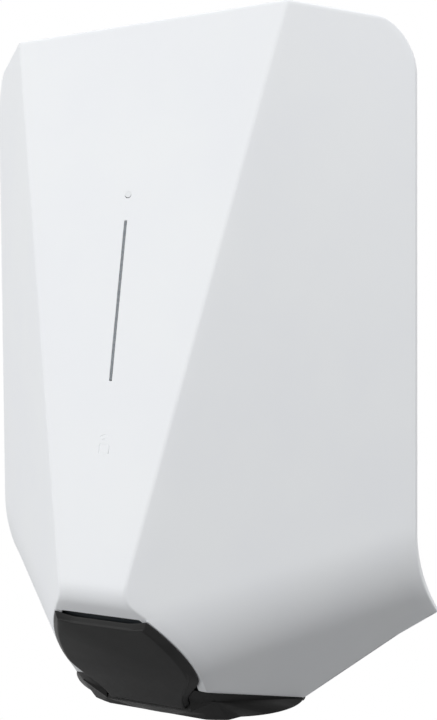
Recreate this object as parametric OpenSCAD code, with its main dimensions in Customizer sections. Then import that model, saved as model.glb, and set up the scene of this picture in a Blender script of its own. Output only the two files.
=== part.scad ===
// Wall-mounted car charging station: wall unit, pull-off cover and socket flap.
// X runs right, Y into the wall, Z up. The origin is the middle of the wall hole pattern, on the wall.

/* [Overall] */
// Height over everything
body_h = 256; // [240:1:310]
// Width across the skirt tips
skirt_w = 193; // [190:1:232]
// Depth from the wall to the proudest point of the front
body_d = 105.7; // [98:0.1:128]
// Height of the top edge over the middle of the wall holes
top_z = 112; // [104:1:120]

/* [Front cover] */
// Width between the rear edges of the side faces
side_w = 182.8; // [178:0.2:186]
// Depth of those rear edges from the wall
side_d = 25.1; // [24.6:0.1:28]
// Depth of the front face at its top edge
face_d = 62.8; // [58:0.2:66]
// Width of the front face where it meets the chin
nose_w = 22.8; // [18:0.2:26]
// Wall of the cover
cover_t = 2.5; // [2:0.1:3]
// Width of the cover's rim behind the edges of its side faces
rim = 4; // [3:0.1:5]
// Rounding of the two top corners, along the side faces
corner_r = 19; // [10:1:24]
// Radius of the roll between the front face and the chin
nose_r = 9; // [5:0.5:12]

/* [Underside] */
// Height of the chin, from the nose to the bottom
chin_h = 57.3; // [53:0.1:61]
// Lean of the chin from upright, in degrees
chin_a = 40.5; // [38:0.5:43]
// Height of the bend under the side faces, at their rear edges
bend_h = 71.1; // [68:0.1:76]
// Fall of that bend towards the middle, in degrees
bend_a = 9.34; // [7:0.1:11]
// Radius of the bend
bend_r = 64; // [50:1:80]
// Lean of the underside from upright, in degrees
under_a = 29.5; // [26:0.5:33]
// Rounding along the bottom of the chin
heel_r = 5; // [3:0.5:7]
// Height of the skirt tips over the bottom
tip_h = 31; // [28:0.5:34]
// Half width of the rubber cap at its rear corners
cap_x = 50; // [46:0.5:54]
// Fall of the seam between cover and rubber cap, towards the wall, in degrees
seam_a = 19.9; // [17:0.1:22]
// Height of that seam over the bottom, at the rear corners
seam_h = 1.5; // [1:0.1:3]
// Depth of those rear corners from the wall
cap_back = 30; // [27:0.5:33]
// Height of the band between that seam and the foot
band_h = 5; // [4:0.1:6]

/* [Light strip] */
// Length of the light strip
strip_l = 56.3; // [40:0.1:70]
// Width of the light strip
strip_w = 1; // [0.8:0.1:2]
// Top edge of the cover to the top of the strip
strip_drop = 74; // [60:1:90]
// Top edge of the cover to the touch dot
dot_drop = 64.6; // [50:0.1:70]
// Top edge of the cover to the card symbol
card_drop = 151; // [145:1:160]

/* [Socket] */
// Radius of the socket well
well_r = 20.5; // [19:0.1:21]
// Depth of the socket well
well_d = 38; // [31:0.2:40]
// Wall of the socket housing
well_t = 2.5; // [2:0.1:3]
// Half height of the flat on top of the well
well_flat = 15.5; // [14.5:0.1:16.5]
// Gap between the well and the contact carrier that stands in it
well_gap = 5.3; // [5:0.1:5.6]
// Depth of the carrier's face below the mouth of the well
insert_drop = 8; // [6:0.5:9]
// Radius of a power contact's bore
power_r = 3; // [2.9:0.05:3.1]
// Radius of a signal contact's bore
signal_r = 1.5; // [1.4:0.05:1.6]
// Middle of the well, measured down the chin from the nose
well_drop = 37; // [36:0.5:38]
// Angle that the flap opens to, in degrees
flap_open = 110; // [90:5:120]
// Thickness of the rubber flap
flap_t = 2.2; // [2:0.2:4]
// Top edge of the flap, measured down the chin from the nose
flap_top = 9.6; // [8:0.2:10.6]
// Hinge line of the flap, measured down the chin from the nose
flap_low = 64; // [63:0.5:66]
// Travel of the locking pin
lock_travel = 4.5; // [4:0.1:4.8]
// Radius of the locking pin
lock_r = 2.5; // [2:0.1:2.6]

/* [Wall unit] */
// Width of the backplate
plate_w = 150; // [144:1:156]
// Depth of the backplate
plate_d = 24; // [23:0.1:25]
// Height from the cover's top edge down to the backplate
plate_drop = 10; // [8:0.5:14]
// Height of the backplate's lower edge over the bottom
plate_rise = 48; // [44:1:52]
// Wall of the backplate
plate_t = 2.5; // [2:0.1:3]
// Corner radius of the backplate
plate_r = 20; // [14:1:24]
// Distance between the wall holes, across
hole_w = 125; // [120:1:128]
// Distance between the wall holes, upwards
hole_h = 160; // [150:1:162]
// Radius of the wall holes
hole_r = 2.75; // [2.5:0.05:3.2]
// Radius of a cable's way through its grommet
cable_r = 7; // [5.5:0.1:8]
// Width of the charge unit
unit_w = 140; // [136:1:142]
// Depth of the joint between the unit's two halves
split_d = 38; // [37:0.5:39]
// Wall of the charge unit
unit_t = 2.2; // [2:0.1:2.6]
// Clearance between the pieces that seat on each other
seat = 0.3; // [0.2:0.05:0.4]

/* [Hidden] */
$fn = 48;
far = 400;

// The body: the nose is where the front face and the chin would meet if they weren't rounded
bottom_z = top_z - body_h;
nose_z = bottom_z + chin_h;
face_a0 = atan((body_d - face_d) / (top_z - nose_z));
nose_d = body_d + nose_r * (cos((chin_a - face_a0) / 2) / cos((chin_a + face_a0) / 2) - 1);
face_a = atan((nose_d - face_d) / (top_z - nose_z));
flank_a = atan((side_w - nose_w) / 2 / (nose_d - side_d));
rear_d = side_d - rim;
bend_z = bottom_z + bend_h;
tip_z = bottom_z + tip_h;
flare_z = tip_z + 35;
back_rise = 2;
level_in = 0.1;
step_x = [74.5, 69.8];
step_z = [bottom_z + 16.7, bottom_z + 14.7];

// The backplate and its terminals
plate_top = top_z - plate_drop;
plate_low = bottom_z + plate_rise;
unit_top = plate_top;
hook_x = [34, 46];
boss_h = 6;
entry_y = plate_d / 2;
entry_wall = 2;
rear_entry_z = -42;
lug_x = 45;
lug_z = plate_low + 12;
lug_r = 6;
term_z = top_z - 58;
term_h = 22;
term_d = 15.5;
blade_n = 5;
blade_gap = 13;
blade_t = 0.8;
blade_h = 6;
blade_z = term_z + 5;

// The socket
hinge_y = well_drop - flap_low;
flap_y = well_drop - flap_top;
lip_d = 1.2;
lip_gap = 1;
lip_t = 1.5;
mouth_d = 1.2;
flange_t = 3;
bracket_t = 3;
leg_x = 12;
leg_l = 28;
insert_r = well_r - well_gap;
insert_flat = insert_r - 5;
insert_top = mouth_d + insert_drop;
power_ring = 8.9;
signal_ring = 8.4;
power_at = concat([[0, 0]], [for (a = [0, 180, 240, 300]) power_ring * [cos(a), sin(a)]]);
signal_at = [for (a = [60, 120]) signal_ring * [cos(a), sin(a)]];
sleeve_t = 0.6;
sleeve_end = 3;
sleeve_in = 1;
running = 0.06;

// The lock
lock_z = -24;
gear_n = 10;
gear_m = 0.8;
gear_r = gear_n * gear_m / 2;
gear_w = 4;
tooth_h = 0.65;
backlash = 0.25;
gear_y = well_r + well_t + 9;
rack_z = lock_z - lock_r - tooth_h - 0.2;
gear_z = rack_z - gear_r;
case_x = 9;
case_t = 1.6;
case_y = [well_r + well_t + seat, gear_y + 5 + lock_travel];
case_z = [gear_z - gear_r - 3.2, lock_z + lock_r + 2.5];
pin_y = [well_flat + 0.5, case_y[1] - case_t - 0.4];

// The charge unit and its boards
unit_in = cover_t + seat;
face_in = unit_in + unit_t;
unit_y = plate_d + seat;
unit_low = nose_z + (case_y[1] - well_drop) * cos(chin_a) - case_z[0] * sin(chin_a) + 2;
unit_r = 8;
gasket_t = 1.2;
screw_in = 7;
screw_head = 2.9;
board_y = unit_y + unit_t + 4;
board_t = 1.6;
board_in = 9;
post_in = 16;
post_r = 3.5;

// Depth of the front face at a height
function face_y(z) = -nose_d + (z - nose_z) * tan(face_a);
// Outward normals of the front face and the chin, in (Y, Z)
face_n = [-cos(face_a), sin(face_a)];
chin_n = [-cos(chin_a), -sin(chin_a)];
nose = [-nose_d, nose_z];
// Where two lines of given normals and distances cross
function meet(n, a, m, b) =
    let (d = n.x * m.y - n.y * m.x) [(a * m.y - b * n.y) / d, (n.x * b - m.x * a) / d];

// Side view of the body: i is the inset of the walls, out moves the chin outwards
function side_points(i, out) =
    let (
        a = face_n * nose - i,
        b = chin_n * nose + out,
        r = max(nose_r - i, 1),
        c = meet(face_n, a - r, chin_n, b - r),
        low = bottom_z - (i > 1 ? 60 : 0),
        heel = meet([0, 1], low + heel_r, chin_n, b - heel_r)
    ) concat(
        [[far, top_z - i], [face_y(top_z - i) + i / cos(face_a), top_z - i]],
        [for (t = [180 - face_a : (chin_a + face_a) / 8 : 180 + chin_a + 0.01]) c + r * [cos(t), sin(t)]],
        [for (t = [180 + chin_a : (90 - chin_a) / 6 : 270.01]) heel + heel_r * [cos(t), sin(t)]],
        [[far, low]]
    );

// Front view of one half of the body: the lower edge is open on the inset ones
function half_points(i) =
    let (
        x = side_w / 2 - i,
        z = top_z - i,
        rx = (corner_r - i) * sin(flank_a),
        rz = corner_r - i,
        flare = [for (t = [0 : 0.2 : 1.01])
            [x + (skirt_w - side_w) / 2 * t * t, flare_z + (tip_z - flare_z) * t]],
        low = i > 1
            ? [[skirt_w / 2 - i, bottom_z - 60], [0, bottom_z - 60]]
            : [[step_x[0], step_z[0]], [step_x[1], step_z[1]], [cap_x, bottom_z + seam_h],
               [cap_x, bottom_z], [0, bottom_z]]
    ) concat(
        [[0, z]],
        [for (t = [90 : -15 : 0]) [x - rx + rx * cos(t), z - rz + rz * sin(t)]],
        flare, low
    );

// Section across one side face and the underside that it rolls into
function flank_points(i) =
    let (
        r = bend_r - i,
        arc = [for (t = [0 : 1 : 6]) let (a = under_a * t / 6) [-(bend_r - r * cos(a)), -r * sin(a)]],
        end = arc[6] + 150 * [-sin(under_a), -cos(under_a)]
    ) concat([[-i, far]], arc, [end, [-far, end.y], [-far, far]]);

module across() { rotate([90, 0, 90]) linear_extrude(2 * far, center = true) children(); }
module through() { rotate([90, 0, 0]) linear_extrude(2 * far, center = true) children(); }
module both() { children(); mirror([1, 0, 0]) children(); }

// The bend falls towards the middle. Behind the side faces it is level, and set in by a hair.
module flank(i) {
    translate([side_w / 2, -side_d, bend_z]) rotate([0, 0, -flank_a]) union() {
        rotate([90 + bend_a, 0, 0]) linear_extrude(3 * far, center = true) polygon(flank_points(i));
        rotate([90, 0, 0]) linear_extrude(3 * far, center = true) polygon(flank_points(i + level_in));
    }
}

// The closed outer form, inset by i, with its chin moved outwards
module form(i = 0, out = 0) {
    intersection() {
        across() polygon(side_points(i, out));
        through() both() polygon(half_points(i));
        flank(i);
        mirror([1, 0, 0]) flank(i);
    }
}

// A block from x0 to x1, y0 to y1, z0 to z1
module block(x, y, z) {
    translate([x[0], y[0], z[0]]) cube([x[1] - x[0], y[1] - y[0], z[1] - z[0]]);
}

// All that lies under the seam of the rubber cap, or a drop below it
module under_seam(drop = 0) {
    translate([0, -cap_back, bottom_z + seam_h - drop]) rotate([-seam_a, 0, 0])
        block([-far, far], [-far, far], [-far, 0]);
}

// A frame on the front face: Z outwards, Y up the face
module on_face(drop) {
    translate([0, face_y(top_z - drop), top_z - drop]) rotate([90 - face_a, 0, 0]) children();
}

// A frame at the middle of the well: Z out of the socket, Y up the chin
module on_chin(down = well_drop) {
    translate([0, -nose_d + down * sin(chin_a), nose_z - down * cos(chin_a)])
        rotate([90 + chin_a, 0, 0]) children();
}

// A bar that lies along Y, towards the front
module rod(x, y, z, r, l, fn = 32) {
    translate([x, y, z]) rotate([90, 0, 0]) cylinder(r = r, h = l, $fn = fn);
}

module rounded(w, z0, z1, r) {
    translate([-w / 2 + r, z0 + r]) square([w - 2 * r, z1 - z0 - 2 * r]);
    for (x = [-1, 1]) {
        translate([x > 0 ? w / 2 - r : -w / 2, z0 + r]) square([r, z1 - z0 - 2 * r]);
        for (z = [z0 + r, z1 - r]) translate([x * (w / 2 - r), z]) circle(r);
    }
    for (z = [z0, z1 - r]) translate([-w / 2 + r, z]) square([w - 2 * r, r]);
}

module slab(y0, y1) { translate([0, y1, 0]) rotate([90, 0, 0]) linear_extrude(y1 - y0) children(); }

module dee(r, flat, h) {
    intersection() {
        cylinder(r = r, h = h, $fn = 64);
        translate([-r, -r, 0]) cube([2 * r, r + flat, h]);
    }
}

// Places
module at_holes() { for (x = [-1, 1], z = [-1, 1]) translate([x * hole_w / 2, 0, z * hole_h / 2]) children(); }
module at_unit(inset) {
    for (x = [-1, 1], z = [unit_low + inset, unit_top - inset])
        translate([x * (unit_w / 2 - inset), 0, z]) children();
}
module at_poles() { for (i = [0 : blade_n - 1]) translate([(i - (blade_n - 1) / 2) * blade_gap, 0, 0]) children(); }
module at_rear_entry() { translate([0, -plate_t, rear_entry_z]) rotate([-90, 0, 0]) children(); }
module at_end_entries() {
    translate([0, -entry_y, plate_top - plate_t]) children();
    translate([0, -entry_y, plate_low + plate_t]) rotate([180, 0, 0]) children();
}

// Pieces on the wall
module backplate() {
    color("gainsboro") difference() {
        union() {
            difference() {
                slab(-plate_d, 0) rounded(plate_w, plate_low, plate_top, plate_r);
                slab(-far, -plate_t)
                    rounded(plate_w - 2 * plate_t, plate_low + plate_t, plate_top - plate_t, plate_r - plate_t);
            }
            at_holes() rod(0, 0, 0, hole_r + 3.5, boss_h);
            for (x = [-lug_x, lug_x]) rod(x, 0, lug_z, lug_r, plate_d);
        }
        at_holes() rod(0, 1, 0, hole_r, boss_h + 2);
        for (x = [-lug_x, lug_x]) rod(x, -plate_d + 14, lug_z, 1.7, 20);
        at_rear_entry() translate([0, 0, -1]) cylinder(r = cable_r + entry_wall, h = plate_t + 2);
        at_end_entries() translate([0, 0, -1]) cylinder(r = cable_r + entry_wall, h = plate_t + 2);
    }
}

// A grommet with its lip at a height over the inner face of the plate's wall
module grommet(lip_z) {
    difference() {
        union() {
            cylinder(r = cable_r + entry_wall, h = plate_t);
            translate([0, 0, lip_z]) cylinder(r = cable_r + entry_wall + 1.2, h = 1.5);
        }
        translate([0, 0, -3]) cylinder(r = cable_r, h = plate_t + 6);
    }
}

module entry_grommets() {
    color("#202020") union() {
        at_rear_entry() grommet(-1.5);
        at_end_entries() grommet(plate_t);
    }
}

module terminal_block() {
    color("beige") difference() {
        block([-38, 38], [-plate_t - term_d, -plate_t], [term_z - term_h / 2, term_z + term_h / 2]);
        at_poles() {
            block([-blade_t / 2 - seat, blade_t / 2 + seat], [-far, -plate_t - 4],
                  [blade_z - blade_h / 2 - seat, blade_z + blade_h / 2 + seat]);
            rod(0, -plate_t - 7, term_z - 6, 3.2, 20);
            translate([0, -plate_t - 4.5, term_z - term_h / 2 - 1]) cylinder(r = 2.2, h = 9);
        }
    }
}

module terminal_screws() {
    color("silver") at_poles() difference() {
        rod(0, -plate_t - 7, term_z - 6, 2.9, 6);
        block([-0.4, 0.4], [-far, -plate_t - 12], [term_z - 10, term_z - 2]);
    }
}

module terminal_cover() {
    color("white") difference() {
        block([-38, 38], [-plate_t - term_d - 2, -plate_t - term_d], [term_z - term_h / 2, term_z]);
        at_poles() rod(0, -plate_t, term_z - 6, 1.6, 30);
    }
}

module plug_blades() {
    color("goldenrod") at_poles()
        block([-blade_t / 2, blade_t / 2], [-board_y, -plate_t - 8],
              [blade_z - blade_h / 2, blade_z + blade_h / 2]);
}

module unit_rear_housing() {
    color("dimgray") difference() {
        union() {
            difference() {
                slab(-split_d + gasket_t, -unit_y) rounded(unit_w, unit_low, unit_top, unit_r);
                slab(-far, -unit_y - unit_t)
                    rounded(unit_w - 2 * unit_t, unit_low + unit_t, unit_top - unit_t, unit_r - unit_t);
            }
            at_unit(screw_in) rod(0, -unit_y, 0, 4, split_d - gasket_t - unit_y);
            at_unit(post_in) rod(0, -unit_y, 0, post_r, board_y - unit_y);
        }
        at_unit(screw_in) rod(0, -unit_y + 1, 0, 1.8, 30);
        at_unit(screw_in) rod(0, -unit_y + 1, 0, screw_head + seat, 3);
        at_unit(post_in) rod(0, -unit_y - 1.5, 0, 1.4, 30);
        at_poles() block([-1.2, 1.2], [-unit_y - 5, 0], [blade_z - 4, blade_z + 4]);
    }
}

module unit_gasket() {
    color("#202020") difference() {
        slab(-split_d, -split_d + gasket_t) rounded(unit_w, unit_low, unit_top, unit_r);
        slab(-far, 0) rounded(unit_w - 2 * unit_t, unit_low + unit_t, unit_top - unit_t, unit_r - unit_t);
    }
}

// The unit's front half follows the cover from within
module unit_front_housing() {
    color("dimgray") difference() {
        union() {
            difference() {
                intersection() {
                    form(unit_in);
                    slab(-far, -split_d) rounded(unit_w, unit_low, unit_top, unit_r);
                }
                intersection() {
                    form(face_in);
                    slab(-far, 0)
                        rounded(unit_w - 2 * unit_t, unit_low + unit_t, unit_top - unit_t, unit_r - unit_t);
                }
            }
            intersection() {
                form(unit_in);
                at_unit(screw_in) rod(0, -split_d, 0, 4, 22);
            }
            on_face(strip_drop - 4) translate([0, 0, -face_in - 1.5]) cylinder(r = 2, h = 2, $fn = 32);
            on_face(strip_drop + strip_l + 3) translate([0, 0, -face_in - 1.5]) cylinder(r = 2, h = 2, $fn = 32);
        }
        at_unit(screw_in) rod(0, -split_d + 1, 0, 1.4, 17);
        on_strip() block([-2, 2], [-strip_l / 2, strip_l / 2], [-far, far] / 40);
    }
}

module unit_screws() {
    color("silver") at_unit(screw_in) union() {
        rod(0, -unit_y - 1, 0, 1.35, 20);
        rod(0, -unit_y - 0.4, 0, screw_head, 1.6);
    }
}

module main_board() {
    color("darkgreen") difference() {
        slab(-board_y - board_t, -board_y)
            rounded(unit_w - 2 * board_in, unit_low + board_in, unit_top - board_in, 4);
        at_unit(screw_in) rod(0, 0, 0, 5, 60);
        at_unit(post_in) rod(0, 0, 0, 1.6, 60);
    }
}

module board_screws() {
    color("silver") at_unit(post_in) union() {
        rod(0, -unit_y - 3, 0, 1.35, board_y + board_t - unit_y - 3);
        rod(0, -board_y - board_t, 0, 2.7, 2);
    }
}

module on_board(x, z) { translate([x, -board_y - board_t, z]) rotate([90, 0, 0]) children(); }

module relays() {
    color("#1c1c1c") for (i = [0 : 3]) on_board(-39 + 26 * i, term_z - 40) block([-10, 10], [-14, 14], [0, 16]);
}

module capacitors() {
    color("slategray") for (i = [0 : 2]) on_board(-44 + 15 * i, term_z - 72) cylinder(r = 6, h = 24);
}

module transformer() {
    color("sienna") on_board(34, term_z - 76) difference() {
        union() {
            block([-16, 16], [-13, 13], [0, 4]);
            block([-16, 16], [-13, 13], [20, 24]);
            cylinder(r = 11, h = 22);
        }
        translate([0, 0, 4]) cylinder(r = 3, h = 30);
    }
}

module current_sensor() {
    color("#26323c") on_board(0, term_z - 14) difference() {
        cylinder(r = 11, h = 9);
        translate([0, 0, -1]) cylinder(r = 5.5, h = 11);
    }
}

// Pieces behind the front face
module on_strip() { on_face(strip_drop + strip_l / 2 * cos(face_a)) children(); }

module led_board() {
    color("darkgreen") on_strip()
        block([-7, 7], [-strip_l / 2 - 8, strip_l / 2 + 16], [-face_in - 3.1, -face_in - 1.5]);
}

module led_chips() {
    color("white") on_strip() for (i = [0 : 9])
        translate([0, (i - 4.5) * strip_l / 10, -face_in - 1.5]) block([-0.8, 0.8], [-0.8, 0.8], [0, 0.8]);
}

module touch_pad() {
    color("goldenrod") on_face(dot_drop) translate([0, 0, -face_in - 1.5]) difference() {
        cylinder(r = 3, h = 1.2);
        translate([0, 0, 0.4]) cylinder(r = 2, h = 2);
    }
}

module reader_antenna() {
    color("goldenrod") on_face(card_drop) difference() {
        block([-14, 14], [-12, 12], [-face_in - 1, -face_in]);
        block([-9, 9], [-7, 7], [-far, far]);
    }
}

// The socket
module socket_barrel() {
    on_chin() translate([0, 0, -well_d - well_t])
        cylinder(r = well_r + well_t, h = well_d + well_t - mouth_d, $fn = 64);
}

module socket_flange() {
    intersection() {
        form(unit_in, -seat);
        on_chin() block([-far, far], [-well_r - well_t, flap_y - 1], [-mouth_d - flange_t, -mouth_d]);
    }
}

module socket_housing() {
    color("dimgray") difference() {
        union() {
            intersection() {
                form(unit_in, -seat);
                socket_barrel();
            }
            socket_flange();
        }
        on_chin() translate([0, 0, -well_d]) dee(well_r, well_flat, 2 * well_d);
        on_chin() translate([0, well_flat - 2, lock_z]) rotate([-90, 0, 0])
            cylinder(r = lock_r + running, h = 20, $fn = 32);
    }
}

// The legs reach forwards to the barrel, which rests on them
module socket_bracket() {
    color("dimgray") difference() {
        union() {
            block([-lug_x - 7, lug_x + 7], [-unit_y - bracket_t, -unit_y], [lug_z - lug_r - 2, lug_z + lug_r + 2]);
            for (x = [-leg_x, leg_x])
                block([x - 2, x + 2], [-unit_y - leg_l, -unit_y], [lug_z - lug_r - 2, lug_z + lug_r + 2]);
        }
        socket_barrel();
        for (x = [-lug_x, lug_x]) rod(x, 0, lug_z, 2, unit_y + bracket_t + 1);
    }
}

module socket_insert() {
    color("#2a2c2e") on_chin() translate([0, 0, -well_d]) difference() {
        dee(insert_r, insert_flat, well_d - insert_top);
        for (p = power_at) translate([p.x, p.y, -1]) cylinder(r = power_r + sleeve_t, h = well_d);
        for (p = signal_at) translate([p.x, p.y, -1]) cylinder(r = signal_r + sleeve_t, h = well_d);
    }
}

module sleeve(p, r) {
    translate([p.x, p.y, -well_d]) difference() {
        cylinder(r = r + sleeve_t, h = well_d - insert_top - sleeve_in);
        translate([0, 0, sleeve_end]) cylinder(r = r, h = well_d);
    }
}

module power_contacts() {
    color("gold") on_chin() for (p = power_at) sleeve(p, power_r);
}

module signal_contacts() {
    color("gold") on_chin() for (p = signal_at) sleeve(p, signal_r);
}

module socket_seal() {
    color("#1c1c1c") intersection() {
        form(unit_in, 0);
        on_chin() translate([0, 0, -mouth_d]) difference() {
            cylinder(r = well_r + 1.6, h = mouth_d - 0.2, $fn = 64);
            translate([0, 0, -1]) cylinder(r = well_r, h = 4, $fn = 64);
        }
    }
}

module socket_screws() {
    color("silver") for (x = [-lug_x, lug_x]) union() {
        rod(x, -plate_d + 10, lug_z, 1.6, 10 + seat + bracket_t);
        rod(x, -unit_y - bracket_t, lug_z, 3.2, 2);
    }
}

// The lock that holds a plug in the socket
module lock_housing() {
    color("#3a3d40") on_chin() difference() {
        block([-case_x, case_x], case_y, case_z);
        block([-case_x + case_t, case_x - case_t], [case_y[0] + case_t, case_y[1] - case_t],
              [case_z[0] + case_t, case_z[1] - case_t]);
        translate([0, case_y[0] - 1, lock_z]) rotate([-90, 0, 0]) cylinder(r = lock_r + running, h = 4, $fn = 32);
        translate([0, gear_y, gear_z]) rotate([0, 90, 0]) cylinder(r = 1.3, h = 20, $fn = 32);
    }
}

module lock_motor() {
    color("silver") on_chin() translate([case_x + seat, gear_y, gear_z]) rotate([0, 90, 0]) union() {
        cylinder(r = 6, h = 14);
        translate([0, 0, -case_x - seat - gear_w / 2]) cylinder(r = 1, h = 12, $fn = 32);
    }
}

// A straight tooth: h high over and under the pitch line, which is Y
module tooth(w) {
    polygon([[-w / 2 - tooth_h * 0.36, -tooth_h - 0.6], [-w / 2 + tooth_h * 0.36, tooth_h],
             [w / 2 - tooth_h * 0.36, tooth_h], [w / 2 + tooth_h * 0.36, -tooth_h - 0.6]]);
}

module lock_pin() {
    pitch = PI * gear_m;
    color("lightgray") on_chin() union() {
        translate([0, pin_y[0], lock_z]) rotate([-90, 0, 0])
            cylinder(r = lock_r, h = pin_y[1] - pin_y[0], $fn = 32);
        for (i = [-1 : ceil(lock_travel / pitch)]) translate([0, gear_y + (i + 0.5) * pitch, rack_z]) rotate([0, 90, 0])
            rotate([0, 0, -90]) linear_extrude(gear_w, center = true) tooth(pitch / 2 - backlash);
    }
}

module lock_gear() {
    color("lightgray") on_chin() translate([0, gear_y, gear_z]) rotate([0, 90, 0]) difference() {
        union() {
            cylinder(r = gear_r - tooth_h - 0.3, h = gear_w, center = true);
            for (i = [0 : gear_n - 1]) rotate([0, 0, 360 / gear_n * i + 180])
                translate([gear_r, 0]) rotate([0, 0, -90])
                    linear_extrude(gear_w, center = true) tooth(PI * gear_m / 2 - backlash);
        }
        cylinder(r = 1 + running, h = 20, center = true, $fn = 32);
    }
}

// The cover and its flap
module hinge_axis() { on_chin() translate([0, hinge_y, seat + flap_t / 2]) children(); }

// The upright sides of the foot, which the cap stands on
module foot() {
    reach = nose_d - chin_h * tan(chin_a) - cap_back;
    intersection() {
        translate([0, -cap_back, bottom_z]) linear_extrude(chin_h)
            polygon([for (t = [0 : 6 : 360]) [cap_x * cos(t), reach * sin(t)]]);
        under_seam(band_h);
        across() polygon(side_points(0, 0));
        block([-far, far], [-far, -cap_back], [-far, far]);
    }
}

module bottom_cap() {
    color("#1a1a1a") difference() {
        union() {
            foot();
            intersection() {
                form();
                under_seam();
                block([-far, far], [-far, -cap_back + 3], [-far, far]);
            }
            intersection() {
                form(0, seat + flap_t);
                on_chin() block([-far, far], [-far, hinge_y], [-seat - 3, far]);
            }
        }
        intersection() {
            form(cover_t, 1);
            on_chin() block([-far, far], [hinge_y + 1, far], [-far, far]);
        }
        intersection() {
            form(cover_t, -cover_t - 1);
            block([-far, far], [-far, -cap_back - 2], [bottom_z + 3, far]);
        }
        hinge_axis() {
            rotate([0, 90, 0]) cylinder(r = flap_t / 2 + seat, h = far, center = true);
            block([-far, far], [0, far], [-flap_t / 2 - seat, far]);
            rotate([flap_open, 0, 0]) block([-far, far], [0, far], [0, flap_t / 2 + seat]);
        }
    }
}

module rear_cut() {
    rise = flare_z - tip_z - back_rise;
    across() polygon(concat(
        [[far, top_z + far], [-rear_d, top_z + far]],
        [for (t = [0 : 0.125 : 1.01]) [-rear_d * (1 - pow(t, 1.5)), flare_z - rise * t]],
        [[-cap_back, bottom_z + seam_h], [-cap_back, -far], [far, -far]]
    ));
}

module front_cover() {
    color("#eceef0") difference() {
        union() {
            difference() {
                form();
                form(cover_t, -cover_t);
                intersection() {
                    form(cover_t, 1);
                    on_chin() block([-far, far], [-far, flap_y], [-far, far]);
                }
            }
            for (x = [-1, 1]) block(x > 0 ? hook_x : -[hook_x[1], hook_x[0]], [-rear_d - 12, 0],
                                    [plate_top + seat, top_z - 1]);
        }
        rear_cut();
        under_seam();
        on_strip() block([-strip_w / 2, strip_w / 2], [-strip_l / 2, strip_l / 2], [-far, far] / 50);
        on_face(dot_drop) translate([0, 0, -5]) cylinder(r = 1.2, h = 10, $fn = 32);
    }
}

module light_strip() {
    color("slategray") on_strip() block([-strip_w / 2, strip_w / 2], [-strip_l / 2, strip_l / 2], [-cover_t, 0]);
}

module touch_dot() {
    color("slategray") on_face(dot_drop) translate([0, 0, -cover_t]) cylinder(r = 1.2, h = cover_t, $fn = 32);
}

module socket_flap() {
    color("#303030") union() {
        intersection() {
            form(0, seat + flap_t);
            on_chin() block([-far, far], [hinge_y, flap_y], [seat, seat + flap_t]);
        }
        intersection() {
            form(0, seat + flap_t);
            hinge_axis() rotate([0, 90, 0]) cylinder(r = flap_t / 2, h = 80, center = true);
        }
        on_chin() translate([0, 0, -lip_d]) difference() {
            dee(well_r - lip_gap, well_flat - lip_gap, lip_d + seat + 1);
            dee(well_r - lip_gap - lip_t, well_flat - lip_gap - lip_t, lip_d + seat);
        }
    }
}

backplate();
entry_grommets();
terminal_block();
terminal_screws();
terminal_cover();
plug_blades();
unit_rear_housing();
unit_gasket();
unit_front_housing();
unit_screws();
main_board();
board_screws();
relays();
capacitors();
transformer();
current_sensor();
reader_antenna();
led_board();
led_chips();
touch_pad();
socket_housing();
socket_bracket();
socket_insert();
power_contacts();
signal_contacts();
socket_seal();
socket_screws();
lock_housing();
lock_motor();
lock_pin();
lock_gear();
bottom_cap();
front_cover();
light_strip();
touch_dot();
socket_flap();
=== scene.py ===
import math

import bmesh
import bpy
from mathutils import Matrix, Vector


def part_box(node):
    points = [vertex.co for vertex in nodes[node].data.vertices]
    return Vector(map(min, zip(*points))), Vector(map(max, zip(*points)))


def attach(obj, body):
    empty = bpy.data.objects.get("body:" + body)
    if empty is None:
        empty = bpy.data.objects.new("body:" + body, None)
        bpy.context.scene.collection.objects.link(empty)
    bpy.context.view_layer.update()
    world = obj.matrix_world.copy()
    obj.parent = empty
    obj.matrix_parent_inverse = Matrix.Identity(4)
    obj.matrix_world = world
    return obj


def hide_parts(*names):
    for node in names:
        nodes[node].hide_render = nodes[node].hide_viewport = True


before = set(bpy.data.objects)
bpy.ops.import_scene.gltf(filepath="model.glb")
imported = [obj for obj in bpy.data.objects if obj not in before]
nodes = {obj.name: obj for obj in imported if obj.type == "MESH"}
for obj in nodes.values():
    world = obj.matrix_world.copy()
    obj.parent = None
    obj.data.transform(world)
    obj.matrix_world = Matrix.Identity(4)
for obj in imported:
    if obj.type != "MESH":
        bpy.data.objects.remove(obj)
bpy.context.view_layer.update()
scene = bpy.context.scene
milli = 0.001
sin, cos, tan, asin, sqrt, rad = math.sin, math.cos, math.tan, math.asin, math.sqrt, math.radians


def addObject(name, data):
    thing = bpy.data.objects.new(name, data)
    scene.collection.objects.link(thing)
    return thing


# The camera stands to the right of the charger, level with its middle, 0.36 m away
view = {
    "place": (0.13785, -0.33963, -0.00228),
    "right": (0.92946, 0.36886, -0.00729),
    "up": (-0.00405, 0.02996, 0.99954),
    "ahead": (-0.36891, 0.929, -0.02934),
    "lens": 41.905,  # mm, on a 36 mm sensor along the picture's long side
}
cameraData = bpy.data.cameras.new("camera")
cameraData.lens = view["lens"]
cameraData.sensor_fit = "AUTO"
cameraData.sensor_width = 36
cameraData.clip_start = 0.01
camera = addObject("camera", cameraData)
turn = Matrix((view["right"], view["up"], [-v for v in view["ahead"]])).transposed()
camera.matrix_world = Matrix.Translation(view["place"]) @ turn.to_4x4()
scene.camera = camera
print("camera placed")


# The body's shape, in mm, which the cover, the cap and the flap all follow

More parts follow.
